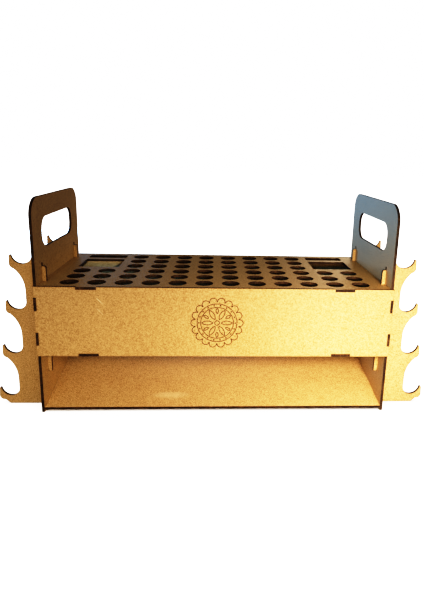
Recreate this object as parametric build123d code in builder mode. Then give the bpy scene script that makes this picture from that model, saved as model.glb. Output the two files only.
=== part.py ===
"""Paint rack organizer: eleven laser-cut 3 mm MDF boards, slotted together.

Frame: origin on the ground under the middle of the rack, +X right, +Y to the back, +Z up.
All sizes are millimetres.
"""
import os
from math import cos, radians, sin

from build123d import *

os.makedirs("parts", exist_ok=True)

# ---- driving dimensions -------------------------------------------------------------------
BOARD = 3.0                 # thickness of every board
WIDTH = 396.0               # over the outer faces of the side boards
DEPTH = 170.0               # over the front and back boards
TOP_LEVEL = 150.0           # upper face of the perforated plate
TRAY_HEIGHT = 80.0          # height of the front and back boards
HANDLE_TOP = 244.0          # top of the side boards

# side boards
SHOULDER_RADIUS = 20.0
GRIP_LENGTH, GRIP_HEIGHT, GRIP_RADIUS = 108.0, 34.0, 14.0
GRIP_LEVEL = 203.2          # centre of the hand opening

# tabs of the side boards in the front and back boards
END_TAB_HEIGHT = 15.0
END_TAB_DROPS = (20.0, 60.0)  # tab centres, below the top edge

# the perforated plate and the tray bottom, between the side boards
EDGE_TAB_X, EDGE_TAB_LENGTH = 142.0, 22.0  # into the front and back boards
SIDE_TAB_Y, SIDE_TAB_LENGTH = 25.5, 45.0   # into the side boards
SLOT_PLAY = 1.0             # slot length over tab length, in all

# openings of the perforated plate
HOLE_DIAMETER = 20.0
COLUMN_PITCH, COLUMNS, REAR_COLUMNS = 30.0, 12, 8
ROW_PITCH, ROWS, FULL_ROWS = 26.0, 6, 3    # rows behind the full ones are short
CUTOUT_X, CUTOUT_WIDTH = 150.0, 50.0
BOX_CUTOUT_Y, BOX_CUTOUT_DEPTH = 28.0, 42.0
SLIM_CUTOUT_Y, SLIM_CUTOUT_DEPTH = 66.0, 15.0
CUTOUT_RADIUS = 1.5

# sloping lower shelf
SHELF_SLOPE = 11.0          # degrees, rising to the rear
SHELF_FOOT = 3.0            # underside above the ground at the front
SHELF_TAB_REACH, SHELF_TAB_LENGTH = 38.0, 40.0

# hook combs
HOOKS = 4
HOOK_PITCH, HOOK_STEP = 53.0, 7.5          # down and outwards, from hook to hook
TOP_TIP_X, TOP_TIP_Z = 228.6, 179.5
HEEL, LOWEST_HEEL = (-2.7, -15.5), (-4.7, -15.2)         # out and up from the tip of a hook
SIDE_LOW, SIDE_HIGH = (1.7, -10.0), (1.3, -1.5)
TIP, TIP_INSIDE = (0.2, 0.0), (-1.1, -1.6)
TROUGH, NECK_LOW, NECK_HIGH = (-12.4, -10.0), (-21.5, -1.0), (-21.5, 12.5)
FOOT_INSET = 10.0           # the corner of the foot is this far inside the lowest tip
COMB_Y = 60.5               # middle of a comb, from the middle of the rack
COMB_FOOT = 0.5             # the combs hang just clear of the ground
COMB_TOP, COMB_TOP_X, COMB_TOP_EDGE = 180.0, 205.0, 0.5
TAB_FEET = (41.5, 137.0)    # lowest point of each tab
TAB_HEIGHT, TAB_REACH, TAB_RADIUS = 30.0, 4.0, 2.5
LIP_DROP = 3.0              # the tab hangs this far behind the side board
LIFT = 3.3                  # travel that frees the lip
CLEARANCE = 0.3             # between a comb and the boards that it moves past
SEAT_GAP = 0.1              # between a resting tab and the foot of its slot

# engraved rosette
ENGRAVING_DEPTH, ENGRAVING_LINE = 0.3, 0.7
PETALS = 6
LONG_PETAL = (4.0, 17.5, 2.6)              # inner end, outer end and half width
SHORT_PETAL = (10.5, 17.5, 1.7)
SCALLOPS, SCALLOP_ORBIT, SCALLOP_RADIUS = 18, 25.0, 4.4
RING_RADII = (22.5, 18.5, 3.0)             # from the outside in
BEAD_ORBIT, BEAD_RADIUS = 20.3, 0.8

# ---- levels and planes worked out from them ------------------------------------------------
OUTER_X = WIDTH / 2
INNER_X = OUTER_X - BOARD
OUTER_Y = DEPTH / 2
INNER_Y = OUTER_Y - BOARD
TRAY_LEVEL = TOP_LEVEL - TRAY_HEIGHT
PLATE_LEVELS = (TRAY_LEVEL, TOP_LEVEL - BOARD)           # undersides of the two plates
END_TAB_LEVELS = [TOP_LEVEL - drop for drop in END_TAB_DROPS]
SHELF_LEAN = BOARD * sin(radians(SHELF_SLOPE))           # the top edge leans forward by this
SHELF_START = (SHELF_LEAN - INNER_Y, SHELF_FOOT)         # lower front corner, in Y and Z
SHELF_LENGTH = (2 * INNER_Y - SHELF_LEAN) / cos(radians(SHELF_SLOPE))
SHELF_TABS = [SHELF_LENGTH / 2 + end * SHELF_TAB_REACH for end in (-1, 1)]
COMB_INNER_X = OUTER_X + CLEARANCE
SIDES = {"left": -1, "right": 1}
ENDS = {"front": -1, "back": 1}


def both_ways(x, y):
    """The four points that mirror (x, y) about both axes."""
    return [(a * x, b * y) for a in (-1, 1) for b in (-1, 1)]


def save(part, name):
    """Label a finished piece and write it to its own file."""
    part.label = name
    export_step(part, f"parts/{name}.step")


# ---- side boards with carry handles ---------------------------------------------------------
def side_panel_slots():
    """Slots for the plates, the shelf and the hook combs, in a board drawn in Y and Z."""
    for level in PLATE_LEVELS:
        with Locations([(end * SIDE_TAB_Y, level + BOARD / 2) for end in (-1, 1)]):
            Rectangle(SIDE_TAB_LENGTH + SLOT_PLAY, BOARD, mode=Mode.SUBTRACT)
    with Locations(Location((*SHELF_START, 0), (0, 0, SHELF_SLOPE))):
        with Locations([(along, BOARD / 2) for along in SHELF_TABS]):
            Rectangle(SHELF_TAB_LENGTH + SLOT_PLAY, BOARD, mode=Mode.SUBTRACT)
    neck_height = TAB_HEIGHT - LIP_DROP
    slot_height = SEAT_GAP + neck_height + LIFT + CLEARANCE
    for foot in TAB_FEET:
        slot_middle = foot + LIP_DROP - SEAT_GAP + slot_height / 2
        with Locations([(end * COMB_Y, slot_middle) for end in (-1, 1)]):
            Rectangle(BOARD + CLEARANCE, slot_height, mode=Mode.SUBTRACT)


for side, sign in SIDES.items():
    inner_face = min(sign * INNER_X, sign * OUTER_X)
    with BuildPart() as side_panel:
        with BuildSketch(Plane.YZ.offset(inner_face)) as outline:
            with Locations((0, HANDLE_TOP / 2)):
                Rectangle(2 * INNER_Y, HANDLE_TOP)
            fillet(outline.vertices().group_by(Axis.Y)[-1], SHOULDER_RADIUS)
            tabs = [(end * (INNER_Y + BOARD / 2), z) for end in (-1, 1) for z in END_TAB_LEVELS]
            with Locations(tabs):
                Rectangle(BOARD, END_TAB_HEIGHT)
            with Locations((0, GRIP_LEVEL)):
                RectangleRounded(GRIP_LENGTH, GRIP_HEIGHT, GRIP_RADIUS, mode=Mode.SUBTRACT)
            side_panel_slots()
        extrude(amount=BOARD)
    save(side_panel.part, f"side_panel_{side}")


# ---- front and back boards ------------------------------------------------------------------
def tray_wall():
    """Board drawn in X and Z, with notches for the side boards' tabs and the plates' tabs."""
    with Locations((0, TRAY_LEVEL + TRAY_HEIGHT / 2)):
        Rectangle(WIDTH, TRAY_HEIGHT)
    with Locations([(end * (OUTER_X - BOARD / 2), z) for end in (-1, 1) for z in END_TAB_LEVELS]):
        Rectangle(BOARD, END_TAB_HEIGHT, mode=Mode.SUBTRACT)
    for level in PLATE_LEVELS:
        with Locations([(end * EDGE_TAB_X, level + BOARD / 2) for end in (-1, 1)]):
            Rectangle(EDGE_TAB_LENGTH, BOARD, mode=Mode.SUBTRACT)


def petal(inner, outer, half_width):
    """Outline of a pointed petal on the +X axis."""
    middle = (inner + outer) / 2
    with BuildSketch() as leaf:
        with BuildLine():
            ThreePointArc((inner, 0), (middle, half_width), (outer, 0))
            ThreePointArc((inner, 0), (middle, -half_width), (outer, 0))
        make_face()
        offset(amount=-ENGRAVING_LINE, mode=Mode.SUBTRACT)
    return leaf.sketch


def scalloped_disc(inset, mode):
    """Disc with a ring of round scallops, drawn smaller by the inset."""
    Circle(SCALLOP_ORBIT - inset, mode=mode)
    with PolarLocations(SCALLOP_ORBIT, SCALLOPS):
        Circle(SCALLOP_RADIUS - inset, mode=mode)


long_petal, short_petal = petal(*LONG_PETAL), petal(*SHORT_PETAL)
rosette_middle = (0, -OUTER_Y, TRAY_LEVEL + TRAY_HEIGHT / 2)

with BuildPart() as front_panel:
    with BuildSketch(Plane.XZ.offset(OUTER_Y)):
        tray_wall()
    extrude(amount=-BOARD)
    with BuildSketch(Plane(origin=rosette_middle, x_dir=(1, 0, 0), z_dir=(0, -1, 0))):
        scalloped_disc(0, Mode.ADD)
        scalloped_disc(ENGRAVING_LINE, Mode.SUBTRACT)
        for radius in RING_RADII:
            Circle(radius)
            Circle(radius - ENGRAVING_LINE, mode=Mode.SUBTRACT)
        with PolarLocations(BEAD_ORBIT, SCALLOPS):
            Circle(BEAD_RADIUS)
        with PolarLocations(0, PETALS):
            add(long_petal)
        with PolarLocations(0, PETALS, start_angle=180 / PETALS):
            add(short_petal)
    extrude(amount=-ENGRAVING_DEPTH, mode=Mode.SUBTRACT)
save(front_panel.part, "front_panel")

with BuildPart() as back_panel:
    with BuildSketch(Plane.XZ.offset(-INNER_Y)):
        tray_wall()
    extrude(amount=-BOARD)
save(back_panel.part, "back_panel")


# ---- perforated plate and tray bottom --------------------------------------------------------
def plate_outline():
    """Plate drawn in X and Y, with tabs on all sides and notches for the hook combs' tabs."""
    Rectangle(2 * INNER_X, 2 * INNER_Y)
    with Locations(both_ways(EDGE_TAB_X, INNER_Y + BOARD / 2)):
        Rectangle(EDGE_TAB_LENGTH, BOARD)
    with Locations(both_ways(INNER_X + BOARD / 2, SIDE_TAB_Y)):
        Rectangle(BOARD, SIDE_TAB_LENGTH)
    notch_reach = TAB_REACH + 2 * CLEARANCE
    with Locations(both_ways(INNER_X - notch_reach / 2, COMB_Y)):
        Rectangle(notch_reach, BOARD + 2 * CLEARANCE, mode=Mode.SUBTRACT)


def hole_centres():
    """Full rows of holes in front, and shorter rows behind them."""
    for row in range(ROWS):
        count = COLUMNS if row < FULL_ROWS else REAR_COLUMNS
        for column in range(count):
            yield ((column - (count - 1) / 2) * COLUMN_PITCH, (row - (ROWS - 1) / 2) * ROW_PITCH)


with BuildPart() as top_plate:
    with BuildSketch(Plane.XY.offset(TOP_LEVEL - BOARD)):
        plate_outline()
        with Locations(list(hole_centres())):
            Circle(HOLE_DIAMETER / 2, mode=Mode.SUBTRACT)
        with Locations([(end * CUTOUT_X, BOX_CUTOUT_Y) for end in (-1, 1)]):
            RectangleRounded(CUTOUT_WIDTH, BOX_CUTOUT_DEPTH, CUTOUT_RADIUS, mode=Mode.SUBTRACT)
        with Locations([(end * CUTOUT_X, SLIM_CUTOUT_Y) for end in (-1, 1)]):
            RectangleRounded(CUTOUT_WIDTH, SLIM_CUTOUT_DEPTH, CUTOUT_RADIUS, mode=Mode.SUBTRACT)
    extrude(amount=BOARD)
save(top_plate.part, "top_plate")

with BuildPart() as tray_bottom:
    with BuildSketch(Plane.XY.offset(TRAY_LEVEL)):
        plate_outline()
    extrude(amount=BOARD)
save(tray_bottom.part, "tray_bottom")


# ---- sloping lower shelf ---------------------------------------------------------------------
shelf_normal = (0, -sin(radians(SHELF_SLOPE)), cos(radians(SHELF_SLOPE)))
shelf_plane = Plane(origin=(0, *SHELF_START), x_dir=(1, 0, 0), z_dir=shelf_normal)
with BuildPart() as lower_shelf:
    with BuildSketch(shelf_plane):
        with Locations((0, SHELF_LENGTH / 2)):
            Rectangle(2 * INNER_X, SHELF_LENGTH)
        with Locations([(end * (INNER_X + BOARD / 2), along) for end in (-1, 1) for along in SHELF_TABS]):
            Rectangle(BOARD, SHELF_TAB_LENGTH)
    extrude(amount=BOARD)
save(lower_shelf.part, "lower_shelf")


# ---- hook combs ------------------------------------------------------------------------------
def comb_edge(sign):
    """Edge of a comb in X and Z, from the inner foot round the hooks to the inner top."""
    def at(x, z):
        return (sign * x, z)

    def from_tip(hook, offset):
        """Point given by its offset from the tip of a hook, the top one being hook 0."""
        return at(TOP_TIP_X + HOOK_STEP * hook + offset[0], TOP_TIP_Z - HOOK_PITCH * hook + offset[1])

    lowest = HOOKS - 1
    heels = [from_tip(hook, LOWEST_HEEL if hook == lowest else HEEL) for hook in range(HOOKS)]
    inner_foot = at(COMB_INNER_X, COMB_FOOT)
    foot_corner = at(TOP_TIP_X + HOOK_STEP * lowest - FOOT_INSET, COMB_FOOT)
    Polyline(inner_foot, foot_corner, heels[lowest])

    for hook in reversed(range(HOOKS)):
        # blunt outer side and narrow round tip
        side_low, side_high = from_tip(hook, SIDE_LOW), from_tip(hook, SIDE_HIGH)
        tip_inside, trough = from_tip(hook, TIP_INSIDE), from_tip(hook, TROUGH)
        TangentArc(side_low, heels[hook], tangent=(0, -1))
        Line(side_low, side_high)
        ThreePointArc(side_high, from_tip(hook, TIP), tip_inside)
        # round hollow, and the neck up to the next hook
        TangentArc(trough, tip_inside, tangent=at(1, 0))
        if hook > 0:
            neck_low, neck_high = from_tip(hook, NECK_LOW), from_tip(hook, NECK_HIGH)
            TangentArc(trough, neck_low, tangent=at(-1, 0))
            Line(neck_low, neck_high)
            TangentArc(neck_high, heels[hook - 1], tangent=(0, 1))
    top_low = at(COMB_TOP_X, COMB_TOP - COMB_TOP_EDGE)
    TangentArc(from_tip(0, TROUGH), top_low, tangent=at(-1, 0))
    Polyline(top_low, at(COMB_TOP_X, COMB_TOP), at(COMB_INNER_X, COMB_TOP), inner_foot)


def comb_tabs(sign):
    """Tabs that pass through the side board and hang behind it."""
    neck_reach = BOARD + CLEARANCE + CLEARANCE + TAB_REACH
    for foot in TAB_FEET:
        top = foot + TAB_HEIGHT
        tab_end = INNER_X - CLEARANCE - TAB_REACH
        neck_low = foot + LIP_DROP
        with Locations((sign * (tab_end + neck_reach / 2), (neck_low + top) / 2)):
            Rectangle(neck_reach, top - neck_low)
        with Locations((sign * (tab_end + TAB_REACH / 2), (foot + top) / 2)):
            Rectangle(TAB_REACH, TAB_HEIGHT)


for end, end_sign in ENDS.items():
    for side, sign in SIDES.items():
        front_face = end_sign * COMB_Y - BOARD / 2
        with BuildPart() as hook_comb:
            with BuildSketch(Plane.XZ.offset(-front_face)) as profile:
                with BuildLine():
                    comb_edge(sign)
                make_face()
                comb_tabs(sign)
                tab_corners = profile.vertices().group_by(Axis.X)[0 if sign > 0 else -1]
                fillet(tab_corners.sort_by(Axis.Y)[1::2], TAB_RADIUS)
            extrude(amount=-BOARD)
        save(hook_comb.part, f"hook_comb_{end}_{side}")
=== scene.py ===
"""Looks of the paint rack organizer: laser-cut MDF boards, studio floor, light and camera.

Everything is in metres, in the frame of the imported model: origin on the ground under the middle
of the rack, +X right, +Y to the back, +Z up.
"""
from math import cos, radians, sin

import bpy
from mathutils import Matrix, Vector

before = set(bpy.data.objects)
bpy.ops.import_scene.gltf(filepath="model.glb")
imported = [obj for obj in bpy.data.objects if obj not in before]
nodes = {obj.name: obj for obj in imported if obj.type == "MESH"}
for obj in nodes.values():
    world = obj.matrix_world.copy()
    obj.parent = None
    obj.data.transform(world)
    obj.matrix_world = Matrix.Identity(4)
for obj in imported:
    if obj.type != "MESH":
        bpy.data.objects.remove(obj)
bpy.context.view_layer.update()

MM = 0.001
FRONT_FACE = -85 * MM       # outer face of the front board, in Y
SHELF_SLOPE = radians(11)
FLOOR_SIZE = 12

# ---- colours, linear RGB -------------------------------------------------------------------
BOARD_LIGHT = (0.66, 0.47, 0.235)
BOARD_MID = (0.53, 0.35, 0.15)
BOARD_DARK = (0.30, 0.175, 0.06)
FIBRE = (0.20, 0.105, 0.035)
SMOKE = (0.16, 0.075, 0.022)
CHAR = (0.022, 0.0095, 0.004)
TOAST = (0.12, 0.064, 0.028)
ENGRAVED = (0.10, 0.042, 0.012)
# pale colour for the real scratches, and for a painted highlight on the shelf
SCRATCH_AND_HIGHLIGHT_TINT = (0.80, 0.62, 0.36)

# light
WARM = (1.0, 0.84, 0.66)
COOL = (0.3, 0.62, 1.0)
SKY = (0.18, 0.52, 1.0)
DAYLIGHT = (0.70, 0.83, 1.0)
AMBER = (1.0, 0.55, 0.3)
GOLD = (1.0, 0.85, 0.62)
PALE = (1, 0.95, 0.88)
WHITE_LEVEL = 2.0           # of the backdrop, shown as pure white

# ---- texture of the boards: noise scales per metre, and sizes --------------------------------
GRAIN_SCALE, BLOTCH_SCALE, CLOUD_SCALE = 840, 150, 14
GRAIN_WEIGHT, BLOTCH_WEIGHT, CLOUD_WEIGHT = 0.9, 0.05, 0.05
GRAIN_MIDDLE = 0.49
FIBRE_SCALE, FIBRE_STRENGTH = 560, 0.4
STRIPE_SCALE, BAND_SCALE = 1500, 90
SMOKE_REACH = 1.3 * MM
BUMP_DEPTH = 0.25 * MM


# ---- node helpers ----------------------------------------------------------------------------
class Nodes:
    """A short way to write a material's nodes."""

    def __init__(self, material):
        self.tree = material.node_tree
        self.tree.nodes.clear()

    def add(self, kind, inputs=None, **settings):
        node = self.tree.nodes.new("ShaderNode" + kind)
        for name, value in settings.items():
            setattr(node, name, value)
        for name, value in (inputs or {}).items():
            self.feed(node.inputs[name], value)
        return node

    def feed(self, socket, value):
        if isinstance(value, bpy.types.NodeSocket):
            self.tree.links.new(value, socket)
        else:
            socket.default_value = value

    def math(self, operation, a, b=0.0, clamp=False):
        node = self.add("Math", operation=operation, use_clamp=clamp)
        self.feed(node.inputs[0], a)
        self.feed(node.inputs[1], b)
        return node.outputs[0]

    def ramp(self, value, low, high, to_low=0.0, to_high=1.0):
        node = self.add("MapRange", {"Value": value, "From Min": low, "From Max": high,
                                     "To Min": to_low, "To Max": to_high})
        return node.outputs["Result"]

    def mix(self, factor, a, b):
        node = self.add("Mix", data_type="RGBA")
        self.feed(node.inputs["Factor"], factor)
        # the colour sockets share their names with the float ones, so they go by number
        self.feed(node.inputs[6], (*a, 1) if isinstance(a, tuple) else a)
        self.feed(node.inputs[7], (*b, 1) if isinstance(b, tuple) else b)
        return node.outputs[2]

    def noise(self, vector, scale, detail=2.0, roughness=0.5):
        node = self.add("TexNoise", {"Vector": vector, "Scale": scale, "Detail": detail,
                                     "Roughness": roughness})
        return node.outputs["Fac"]

    def moved(self, vector, location=(0, 0, 0), rotation=(0, 0, 0), scale=(1, 1, 1)):
        node = self.add("Mapping", {"Vector": vector, "Location": location,
                                    "Rotation": rotation, "Scale": scale})
        return node.outputs["Vector"]

    def split(self, vector):
        return self.add("SeparateXYZ", {"Vector": vector}).outputs

    def dot(self, a, b):
        node = self.add("VectorMath", operation="DOT_PRODUCT")
        self.feed(node.inputs[0], a)
        self.feed(node.inputs[1], b)
        return node.outputs["Value"]

    def spot(self, place, middle, axes, ragged):
        """Oval mask about a point, with a ragged edge: 1 inside and 0 outside."""
        away = self.add("VectorMath", operation="SUBTRACT")
        self.feed(away.inputs[0], place)
        self.feed(away.inputs[1], middle)
        squares = 0.0
        for direction, reach in axes:
            steps = self.math("DIVIDE", self.dot(away.outputs[0], direction), reach)
            squares = self.math("ADD", squares, self.math("POWER", steps, 2.0))
        return self.ramp(self.math("ADD", squares, ragged), 1.5, 0.6)


# ---- MDF ---------------------------------------------------------------------------------------
def mdf(name, across, seed, softness, marks_and_highlight, engraved):
    """Laser-cut MDF: speckled faces with smoked rims, charred and striped cut edges.

    across is the direction through the board, so the faces are told from the cut edges, and
    softness evens out the grain. The list of pale marks, real scratches and painted highlights,
    gives where they are, how far they reach along some directions, and how strong.
    """
    material = bpy.data.materials.new(name)
    material.use_nodes = True
    n = Nodes(material)
    coords = n.add("TexCoord")
    place, facing = coords.outputs["Object"], coords.outputs["Normal"]
    # seed gives each board its own part of the noise
    field = n.moved(place, location=(seed * 0.37, seed * 0.61, seed * 0.23))

    # fine speckle, faint blotches of a few millimetres and broad clouds
    grain = n.noise(field, GRAIN_SCALE, 3, 0.85)
    blotch = n.noise(field, BLOTCH_SCALE)
    cloud = n.noise(field, CLOUD_SCALE)
    value = n.math("ADD", n.math("MULTIPLY", grain, GRAIN_WEIGHT),
                   n.math("MULTIPLY", blotch, BLOTCH_WEIGHT))
    value = n.math("ADD", value, n.math("MULTIPLY", cloud, CLOUD_WEIGHT))
    value = n.ramp(value, GRAIN_MIDDLE - softness, GRAIN_MIDDLE + softness)
    face = n.mix(n.ramp(value, 0.0, 0.55), BOARD_DARK, BOARD_MID)
    face = n.mix(n.ramp(value, 0.45, 1.0), face, BOARD_LIGHT)
    # short dark fibres lying three ways
    for turn in (20, 75, 140):
        lying = n.moved(field, rotation=(radians(turn), radians(turn * 0.7), radians(turn)),
                        scale=(1, 3, 3))
        fleck = n.ramp(n.noise(lying, FIBRE_SCALE, 1, 0.4), 0.66, 0.74)
        face = n.mix(n.math("MULTIPLY", fleck, FIBRE_STRENGTH), face, FIBRE)
    # pale marks: real scratches, and a painted highlight that stands in for a glossy glint on the
    # shelf
    for middle, axes, strength in marks_and_highlight:
        face = n.mix(n.math("MULTIPLY", n.spot(place, middle, axes, blotch), strength), face, SCRATCH_AND_HIGHLIGHT_TINT)

    # smoke along the rims of the faces
    rim = n.add("AmbientOcclusion", {"Distance": SMOKE_REACH},
                inside=True, only_local=True, samples=8)
    smoke = n.ramp(rim.outputs["AO"], 1.0, 0.35, 0.0, 0.75)
    smoke = n.math("MULTIPLY", smoke, n.ramp(blotch, 0.3, 0.7, 0.55, 1.0), clamp=True)
    face = n.mix(smoke, face, SMOKE)

    # cut edges: char striped across the board
    stripes_along = tuple(0.12 if abs(c) > 0.5 else 1 for c in across)
    stripes = n.noise(n.moved(field, scale=stripes_along), STRIPE_SCALE, 2, 0.6)
    bands = n.noise(field, BAND_SCALE)
    toasting = n.math("MULTIPLY", n.ramp(stripes, 0.35, 0.7), n.ramp(bands, 0.3, 0.65))
    edge = n.mix(toasting, CHAR, TOAST)

    on_face = n.ramp(n.math("ABSOLUTE", n.dot(facing, across)), 0.80, 0.95)
    on_edge = n.math("SUBTRACT", 1.0, on_face)
    colour = n.mix(on_face, edge, face)
    if engraved:
        # burnt wherever the surface is a little behind the front face, but not on the back face
        level = n.split(place)[1]
        below_face = n.ramp(level, FRONT_FACE + 0.07 * MM, FRONT_FACE + 0.20 * MM)
        near_face = n.ramp(level, FRONT_FACE + 2 * MM, FRONT_FACE + 1 * MM)
        colour = n.mix(n.math("MULTIPLY", below_face, near_face), colour, ENGRAVED)

    rough_face = n.ramp(grain, 0.3, 0.7, 0.42, 0.62)
    roughness = n.math("ADD", n.math("MULTIPLY", on_face, rough_face),
                       n.math("MULTIPLY", on_edge, 0.8))
    height = n.math("ADD", n.math("MULTIPLY", on_face, n.math("MULTIPLY", grain, 0.25)),
                    n.math("MULTIPLY", on_edge, stripes))
    bump = n.add("Bump", {"Height": height, "Strength": 0.35, "Distance": BUMP_DEPTH})

    shader = n.add("BsdfPrincipled", {"Base Color": colour, "Roughness": roughness,
                                      "Specular IOR Level": 0.35,
                                      "Normal": bump.outputs["Normal"]})
    n.add("OutputMaterial", {"Surface": shader.outputs[0]})
    return material


# direction through each board, by the start of its name
ACROSS = {
    "side_panel": (1, 0, 0),
    "front_panel": (0, 1, 0),
    "back_panel": (0, 1, 0),
    "top_plate": (0, 0, 1),
    "tray_bottom": (0, 0, 1),
    "lower_shelf": (0, -sin(SHELF_SLOPE), cos(SHELF_SLOPE)),
    "hook_comb": (0, 1, 0),
}

# pale marks, real scratches and a painted highlight: middle, (direction, reach) pairs, strength
SCRATCH = [((0.68, 0, -0.73), 7 * MM), ((0.73, 0, 0.68), 0.8 * MM)]
# shape of the painted highlight on the shelf, where the shelf shows a glossy glint
SHELF_HIGHLIGHT_SHAPE = [((1, 0, 0), 24 * MM), ((0, 1, 0), 7 * MM)]
PALE_MARKS_AND_HIGHLIGHTS = {
    "front_panel": [((-0.1275, FRONT_FACE, 0.1342), SCRATCH, 1.0),
                    ((-0.128, FRONT_FACE, 0.1227), SCRATCH, 0.5)],
    # painted highlight: a pale patch standing in for a glossy glint on the shelf
    "lower_shelf": [((-0.054, -0.062, 0.010), SHELF_HIGHLIGHT_SHAPE, 0.42)],
}

USUAL_SOFTNESS = 0.13
SOFTNESS = {"front_panel": 0.155, "lower_shelf": 0.1, "top_plate": 0.085}


def across_of(name):
    return next(axis for start, axis in ACROSS.items() if name.startswith(start))


def dress_boards():
    for seed, (name, board) in enumerate(sorted(nodes.items()), start=1):
        board.data.materials.clear()
        board.data.materials.append(
            mdf(f"mdf_{name}", across_of(name), seed, SOFTNESS.get(name, USUAL_SOFTNESS),
                PALE_MARKS_AND_HIGHLIGHTS.get(name, ()), engraved=name == "front_panel"))


# ---- studio --------------------------------------------------------------------------------------
def plain_material(name, colour, roughness):
    material = bpy.data.materials.new(name)
    material.use_nodes = True
    shader = material.node_tree.nodes["Principled BSDF"]
    shader.inputs["Base Color"].default_value = (*colour, 1)
    shader.inputs["Roughness"].default_value = roughness
    return material


def make_floor():
    """Pale floor that sends no light back to the rack."""
    bpy.ops.mesh.primitive_plane_add(size=FLOOR_SIZE)
    floor = bpy.context.object
    floor.name = "floor"
    floor.data.materials.append(plain_material("studio_floor", (0.9, 0.9, 0.9), 0.9))
    floor.visible_diffuse = False
    floor.visible_glossy = False
    return floor


def make_world(colour, strength):
    """White backdrop that gives the rack only a dim fill."""
    world = bpy.data.worlds.new("studio")
    bpy.context.scene.world = world
    world.use_nodes = True
    tree = world.node_tree
    fill = tree.nodes["Background"]
    fill.inputs["Color"].default_value = (*colour, 1)
    fill.inputs["Strength"].default_value = strength
    backdrop = tree.nodes.new("ShaderNodeBackground")
    backdrop.inputs["Color"].default_value = (1, 1, 1, 1)
    backdrop.inputs["Strength"].default_value = WHITE_LEVEL
    seen = tree.nodes.new("ShaderNodeLightPath")
    choice = tree.nodes.new("ShaderNodeMixShader")
    tree.links.new(seen.outputs["Is Camera Ray"], choice.inputs[0])
    tree.links.new(fill.outputs[0], choice.inputs[1])
    tree.links.new(backdrop.outputs[0], choice.inputs[2])
    tree.links.new(choice.outputs[0], tree.nodes["World Output"].inputs[0])


def add_light(name, kind, place, aim, power, colour, lit=(), **settings):
    """Light at place, turned to aim. When lit lists objects, it lights only those."""
    data = bpy.data.lights.new(name, kind)
    data.energy = power
    data.color = colour
    for setting, value in settings.items():
        setattr(data, setting, value)
    light = bpy.data.objects.new(name, data)
    light.location = place
    light.rotation_euler = (Vector(aim) - Vector(place)).to_track_quat("-Z", "Y").to_euler()
    light.visible_camera = False
    bpy.context.scene.collection.objects.link(light)
    if lit:
        group = bpy.data.collections.new(name + "_lights")
        for thing in lit:
            group.objects.link(thing)
        light.light_linking.receiver_collection = group
    return light


def add_front_lights():
    """A long low lamp in front, and a stronger one to the right of it."""
    add_light("strip", "AREA", (0.03, -0.42, 0.22), (0.03, -0.10, 0.02), 0.92, WARM,
              shape="RECTANGLE", size=0.75, size_y=0.05, spread=radians(110))
    add_light("key", "AREA", (0.18, -0.34, 0.205), (0.15, -0.10, 0.0), 1.0, WARM,
              lit=[board for name, board in nodes.items() if name != "back_panel"],
              shape="DISK", size=0.07, spread=radians(110))
    add_light("low", "AREA", (0.32, -0.45, 0.02), (0.22, -0.07, 0.02), 1.0, WARM,
              lit=[nodes["hook_comb_front_right"]], shape="DISK", size=0.12)


def add_inner_lights():
    """Cool fill for the right side and the inside, and a narrow beam into the left cut-out."""
    add_light("room", "AREA", (-0.20, -0.62, 0.42), (0.0, 0.0, 0.15), 1.9, SKY,
              lit=[nodes["back_panel"], nodes["side_panel_right"]], shape="DISK", size=0.12)
    beam = add_light("beam", "SPOT", (0.20, -0.42, 0.54), (-0.152, 0.070, 0.15), 16, DAYLIGHT,
                     lit=[nodes["back_panel"]], spot_size=radians(2.2), spot_blend=0.3)
    beam.scale = (2.2, 1, 1)    # an oval beam


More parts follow.
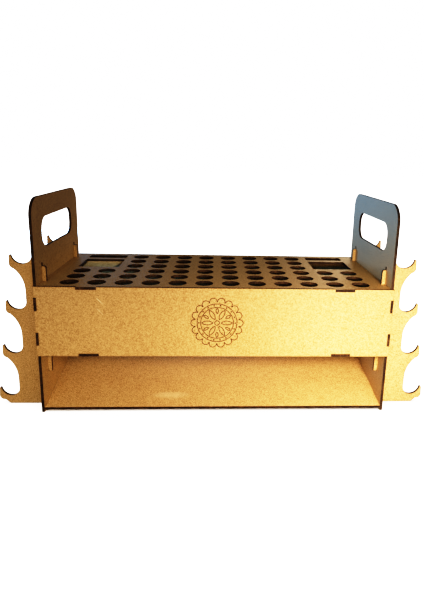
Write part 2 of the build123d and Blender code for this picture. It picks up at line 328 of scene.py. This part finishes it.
def add_rear_lights():
    """Soft lamps behind: two for the inner faces of the handles, one for the top plate."""
    add_light("cool_side", "AREA", (-0.6, 1.2, 0.14), (0.2, 0.0, 0.17), 8, COOL,
              shape="RECTANGLE", size=0.8, size_y=0.25)
    add_light("warm_side", "AREA", (0.6, 1.2, 0.14), (-0.2, 0.0, 0.17), 1.0, AMBER,
              shape="RECTANGLE", size=0.8, size_y=0.25)
    add_light("sheen", "AREA", (0.75, 1.1, 0.42), (0.14, 0.0, 0.15), 6, GOLD,
              lit=[nodes["top_plate"]], shape="RECTANGLE", size=0.8, size_y=0.3)


def add_outer_lights():
    """Lamps for the outer faces of the sides and the back."""
    for side, name in ((-1, "left"), (1, "right")):
        add_light("side_" + name, "AREA", (side * 1.2, 0.4, 0.35), (side * 0.2, 0, 0.12), 12, PALE,
                  lit=[board for key, board in nodes.items() if key.endswith(name)],
                  shape="DISK", size=0.6)
    add_light("rear", "AREA", (0, 1.3, 0.35), (0, 0.08, 0.1), 12, PALE,
              lit=[board for key, board in nodes.items() if "back" in key or key == "lower_shelf"],
              shape="DISK", size=0.6)


def make_camera():
    camera = bpy.data.objects.new("camera", bpy.data.cameras.new("camera"))
    camera.location = (-0.0041, -0.5812, 0.2968)
    camera.rotation_euler = (radians(77.53), radians(-1.51), radians(-3.17))
    camera.data.sensor_width = 24
    camera.data.lens = 18.86
    camera.data.shift_x = -0.0508
    camera.data.shift_y = -0.0737
    bpy.context.scene.collection.objects.link(camera)
    bpy.context.scene.camera = camera


def set_tone_curve():
    """Contrast like a camera's: deep shadows, and highlights that roll off to white."""
    contrast, pivot, brightening = 2.8, 0.29, 0.625

    def shown(level):
        strong = level ** contrast
        return (strong / (strong + pivot)) ** brightening

    view = bpy.context.scene.view_settings
    view.view_transform = "Standard"
    view.use_curve_mapping = True
    view.curve_mapping.white_level = [WHITE_LEVEL] * 3
    all_channels = view.curve_mapping.curves[3]
    for level in (0.05, 0.1, 0.2, 0.35, 0.5, 0.7, 1.0, 1.4):
        all_channels.points.new(level / WHITE_LEVEL, shown(level) / shown(WHITE_LEVEL))
    view.curve_mapping.update()


dress_boards()
floor = make_floor()
make_world((0.95, 0.92, 0.95), 0.17)
add_light("floor_light", "SUN", (0, 0, 2), (0, 0.3, 0), 9, (1, 1, 1), lit=[floor],
          angle=radians(90))
add_front_lights()
add_inner_lights()
add_rear_lights()
add_outer_lights()
make_camera()
set_tone_curve()
